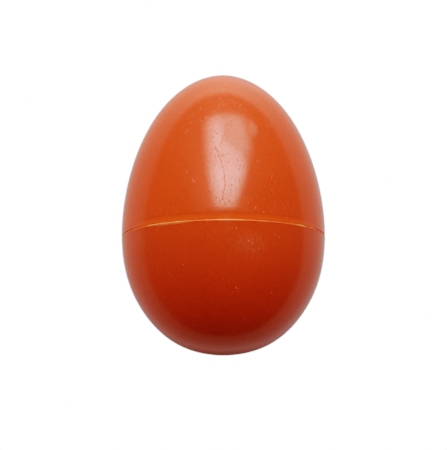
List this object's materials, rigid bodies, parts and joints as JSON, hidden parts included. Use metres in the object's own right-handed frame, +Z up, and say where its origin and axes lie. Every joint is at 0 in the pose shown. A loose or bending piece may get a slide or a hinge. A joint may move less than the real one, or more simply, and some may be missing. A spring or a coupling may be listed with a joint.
{
  "type": "egg shaker",
  "caption": "Hand percussion shaker: a hollow orange plastic egg, its half shells cemented at the widest part, with loose steel shot inside.",
  "frame": {"origin": "centre of the small flat at the blunt end, which the egg stands on", "axes": "+Z up the axis of revolution, from the blunt end to the pointed end; X and Y are any two directions across it, since the egg is round"},
  "size_m": [0.0412, 0.0412, 0.057],
  "materials": {
    "shell": "glossy orange moulded plastic with fine handling scratches",
    "cement": "thin pale orange line of set cement squeezed out of the joint",
    "shot": "bright steel shot, tumbled"
  },
  "bodies": {
    "egg": {"lower_shell": "shell", "upper_shell": "shell", "seam_cement_bead": "cement"},
    "shot_01": {"shot_pellet_01": "shot"},
    "shot_02": {"shot_pellet_02": "shot"},
    "shot_03": {"shot_pellet_03": "shot"},
    "shot_04": {"shot_pellet_04": "shot"},
    "shot_05": {"shot_pellet_05": "shot"},
    "shot_06": {"shot_pellet_06": "shot"},
    "shot_07": {"shot_pellet_07": "shot"},
    "shot_08": {"shot_pellet_08": "shot"},
    "shot_09": {"shot_pellet_09": "shot"},
    "shot_10": {"shot_pellet_10": "shot"},
    "shot_11": {"shot_pellet_11": "shot"},
    "shot_12": {"shot_pellet_12": "shot"},
    "shot_13": {"shot_pellet_13": "shot"},
    "shot_14": {"shot_pellet_14": "shot"},
    "shot_15": {"shot_pellet_15": "shot"},
    "shot_16": {"shot_pellet_16": "shot"},
    "shot_17": {"shot_pellet_17": "shot"},
    "shot_18": {"shot_pellet_18": "shot"},
    "shot_19": {"shot_pellet_19": "shot"},
    "shot_20": {"shot_pellet_20": "shot"},
    "shot_21": {"shot_pellet_21": "shot"},
    "shot_22": {"shot_pellet_22": "shot"},
    "shot_23": {"shot_pellet_23": "shot"},
    "shot_24": {"shot_pellet_24": "shot"},
    "shot_25": {"shot_pellet_25": "shot"},
    "shot_26": {"shot_pellet_26": "shot"},
    "shot_27": {"shot_pellet_27": "shot"},
    "shot_28": {"shot_pellet_28": "shot"},
    "shot_29": {"shot_pellet_29": "shot"},
    "shot_30": {"shot_pellet_30": "shot"},
    "shot_31": {"shot_pellet_31": "shot"},
    "shot_32": {"shot_pellet_32": "shot"},
    "shot_33": {"shot_pellet_33": "shot"},
    "shot_34": {"shot_pellet_34": "shot"},
    "shot_35": {"shot_pellet_35": "shot"},
    "shot_36": {"shot_pellet_36": "shot"},
    "shot_37": {"shot_pellet_37": "shot"},
    "shot_38": {"shot_pellet_38": "shot"},
    "shot_39": {"shot_pellet_39": "shot"},
    "shot_40": {"shot_pellet_40": "shot"},
    "shot_41": {"shot_pellet_41": "shot"},
    "shot_42": {"shot_pellet_42": "shot"},
    "shot_43": {"shot_pellet_43": "shot"},
    "shot_44": {"shot_pellet_44": "shot"},
    "shot_45": {"shot_pellet_45": "shot"},
    "shot_46": {"shot_pellet_46": "shot"},
    "shot_47": {"shot_pellet_47": "shot"},
    "shot_48": {"shot_pellet_48": "shot"},
    "shot_49": {"shot_pellet_49": "shot"},
    "shot_50": {"shot_pellet_50": "shot"},
    "shot_51": {"shot_pellet_51": "shot"},
    "shot_52": {"shot_pellet_52": "shot"},
    "shot_53": {"shot_pellet_53": "shot"},
    "shot_54": {"shot_pellet_54": "shot"},
    "shot_55": {"shot_pellet_55": "shot"},
    "shot_56": {"shot_pellet_56": "shot"},
    "shot_57": {"shot_pellet_57": "shot"}
  },
  "joints": [
    {"name": "shot_01_rattle", "type": "slide", "parent": "egg", "child": "shot_01", "axis": [0, 0, 1], "range_m": [0, 0.0502]},
    {"name": "shot_02_rattle", "type": "slide", "parent": "egg", "child": "shot_02", "axis": [0, 0, 1], "range_m": [0, 0.04975]},
    {"name": "shot_03_rattle", "type": "slide", "parent": "egg", "child": "shot_03", "axis": [0, 0, 1], "range_m": [0, 0.0497]},
    {"name": "shot_04_rattle", "type": "slide", "parent": "egg", "child": "shot_04", "axis": [0, 0, 1], "range_m": [0, 0.04939]},
    {"name": "shot_05_rattle", "type": "slide", "parent": "egg", "child": "shot_05", "axis": [0, 0, 1], "range_m": [0, 0.04929]},
    {"name": "shot_06_rattle", "type": "slide", "parent": "egg", "child": "shot_06", "axis": [0, 0, 1], "range_m": [0, 0.04898]},
    {"name": "shot_07_rattle", "type": "slide", "parent": "egg", "child": "shot_07", "axis": [0, 0, 1], "range_m": [0, 0.04893]},
    {"name": "shot_08_rattle", "type": "slide", "parent": "egg", "child": "shot_08", "axis": [0, 0, 1], "range_m": [0, 0.04838]},
    {"name": "shot_09_rattle", "type": "slide", "parent": "egg", "child": "shot_09", "axis": [0, 0, 1], "range_m": [0, 0.04807]},
    {"name": "shot_10_rattle", "type": "slide", "parent": "egg", "child": "shot_10", "axis": [0, 0, 1], "range_m": [0, 0.04794]},
    {"name": "shot_11_rattle", "type": "slide", "parent": "egg", "child": "shot_11", "axis": [0, 0, 1], "range_m": [0, 0.04756]},
    {"name": "shot_12_rattle", "type": "slide", "parent": "egg", "child": "shot_12", "axis": [0, 0, 1], "range_m": [0, 0.04747]},
    {"name": "shot_13_rattle", "type": "slide", "parent": "egg", "child": "shot_13", "axis": [0, 0, 1], "range_m": [0, 0.04729]},
    {"name": "shot_14_rattle", "type": "slide", "parent": "egg", "child": "shot_14", "axis": [0, 0, 1], "range_m": [0, 0.04714]},
    {"name": "shot_15_rattle", "type": "slide", "parent": "egg", "child": "shot_15", "axis": [0, 0, 1], "range_m": [0, 0.04682]},
    {"name": "shot_16_rattle", "type": "slide", "parent": "egg", "child": "shot_16", "axis": [0, 0, 1], "range_m": [0, 0.04681]},
    {"name": "shot_17_rattle", "type": "slide", "parent": "egg", "child": "shot_17", "axis": [0, 0, 1], "range_m": [0, 0.04663]},
    {"name": "shot_18_rattle", "type": "slide", "parent": "egg", "child": "shot_18", "axis": [0, 0, 1], "range_m": [0, 0.04596]},
    {"name": "shot_19_rattle", "type": "slide", "parent": "egg", "child": "shot_19", "axis": [0, 0, 1], "range_m": [0, 0.04586]},
    {"name": "shot_20_rattle", "type": "slide", "parent": "egg", "child": "shot_20", "axis": [0, 0, 1], "range_m": [0, 0.04524]},
    {"name": "shot_21_rattle", "type": "slide", "parent": "egg", "child": "shot_21", "axis": [0, 0, 1], "range_m": [0, 0.04519]},
    {"name": "shot_22_rattle", "type": "slide", "parent": "egg", "child": "shot_22", "axis": [0, 0, 1], "range_m": [0, 0.04488]},
    {"name": "shot_23_rattle", "type": "slide", "parent": "egg", "child": "shot_23", "axis": [0, 0, 1], "range_m": [0, 0.0447]},
    {"name": "shot_24_rattle", "type": "slide", "parent": "egg", "child": "shot_24", "axis": [0, 0, 1], "range_m": [0, 0.0445]},
    {"name": "shot_25_rattle", "type": "slide", "parent": "egg", "child": "shot_25", "axis": [0, 0, 1], "range_m": [0, 0.04425]},
    {"name": "shot_26_rattle", "type": "slide", "parent": "egg", "child": "shot_26", "axis": [0, 0, 1], "range_m": [0, 0.04364]},
    {"name": "shot_27_rattle", "type": "slide", "parent": "egg", "child": "shot_27", "axis": [0, 0, 1], "range_m": [0, 0.04339]},
    {"name": "shot_28_rattle", "type": "slide", "parent": "egg", "child": "shot_28", "axis": [0, 0, 1], "range_m": [0, 0.04337]},
    {"name": "shot_29_rattle", "type": "slide", "parent": "egg", "child": "shot_29", "axis": [0, 0, 1], "range_m": [0, 0.04324]},
    {"name": "shot_30_rattle", "type": "slide", "parent": "egg", "child": "shot_30", "axis": [0, 0, 1], "range_m": [0, 0.04318]},
    {"name": "shot_31_rattle", "type": "slide", "parent": "egg", "child": "shot_31", "axis": [0, 0, 1], "range_m": [0, 0.04295]},
    {"name": "shot_32_rattle", "type": "slide", "parent": "egg", "child": "shot_32", "axis": [0, 0, 1], "range_m": [0, 0.04265]},
    {"name": "shot_33_rattle", "type": "slide", "parent": "egg", "child": "shot_33", "axis": [0, 0, 1], "range_m": [0, 0.04259]},
    {"name": "shot_34_rattle", "type": "slide", "parent": "egg", "child": "shot_34", "axis": [0, 0, 1], "range_m": [0, 0.04213]},
    {"name": "shot_35_rattle", "type": "slide", "parent": "egg", "child": "shot_35", "axis": [0, 0, 1], "range_m": [0, 0.0418]},
    {"name": "shot_36_rattle", "type": "slide", "parent": "egg", "child": "shot_36", "axis": [0, 0, 1], "range_m": [0, 0.04069]},
    {"name": "shot_37_rattle", "type": "slide", "parent": "egg", "child": "shot_37", "axis": [0, 0, 1], "range_m": [0, 0.04063]},
    {"name": "shot_38_rattle", "type": "slide", "parent": "egg", "child": "shot_38", "axis": [0, 0, 1], "range_m": [0, 0.04046]},
    {"name": "shot_39_rattle", "type": "slide", "parent": "egg", "child": "shot_39", "axis": [0, 0, 1], "range_m": [0, 0.03989]},
    {"name": "shot_40_rattle", "type": "slide", "parent": "egg", "child": "shot_40", "axis": [0, 0, 1], "range_m": [0, 0.03966]},
    {"name": "shot_41_rattle", "type": "slide", "parent": "egg", "child": "shot_41", "axis": [0, 0, 1], "range_m": [0, 0.03958]},
    {"name": "shot_42_rattle", "type": "slide", "parent": "egg", "child": "shot_42", "axis": [0, 0, 1], "range_m": [0, 0.03957]},
    {"name": "shot_43_rattle", "type": "slide", "parent": "egg", "child": "shot_43", "axis": [0, 0, 1], "range_m": [0, 0.03925]},
    {"name": "shot_44_rattle", "type": "slide", "parent": "egg", "child": "shot_44", "axis": [0, 0, 1], "range_m": [0, 0.03899]},
    {"name": "shot_45_rattle", "type": "slide", "parent": "egg", "child": "shot_45", "axis": [0, 0, 1], "range_m": [0, 0.03835]},
    {"name": "shot_46_rattle", "type": "slide", "parent": "egg", "child": "shot_46", "axis": [0, 0, 1], "range_m": [0, 0.03793]},
    {"name": "shot_47_rattle", "type": "slide", "parent": "egg", "child": "shot_47", "axis": [0, 0, 1], "range_m": [0, 0.03793]},
    {"name": "shot_48_rattle", "type": "slide", "parent": "egg", "child": "shot_48", "axis": [0, 0, 1], "range_m": [0, 0.03754]},
    {"name": "shot_49_rattle", "type": "slide", "parent": "egg", "child": "shot_49", "axis": [0, 0, 1], "range_m": [0, 0.03733]},
    {"name": "shot_50_rattle", "type": "slide", "parent": "egg", "child": "shot_50", "axis": [0, 0, 1], "range_m": [0, 0.03668]},
    {"name": "shot_51_rattle", "type": "slide", "parent": "egg", "child": "shot_51", "axis": [0, 0, 1], "range_m": [0, 0.03619]},
    {"name": "shot_52_rattle", "type": "slide", "parent": "egg", "child": "shot_52", "axis": [0, 0, 1], "range_m": [0, 0.03608]},
    {"name": "shot_53_rattle", "type": "slide", "parent": "egg", "child": "shot_53", "axis": [0, 0, 1], "range_m": [0, 0.03587]},
    {"name": "shot_54_rattle", "type": "slide", "parent": "egg", "child": "shot_54", "axis": [0, 0, 1], "range_m": [0, 0.03427]},
    {"name": "shot_55_rattle", "type": "slide", "parent": "egg", "child": "shot_55", "axis": [0, 0, 1], "range_m": [0, 0.03371]},
    {"name": "shot_56_rattle", "type": "slide", "parent": "egg", "child": "shot_56", "axis": [0, 0, 1], "range_m": [0, 0.03299]},
    {"name": "shot_57_rattle", "type": "slide", "parent": "egg", "child": "shot_57", "axis": [0, 0, 1], "range_m": [0, 0.03159]}
  ]
}
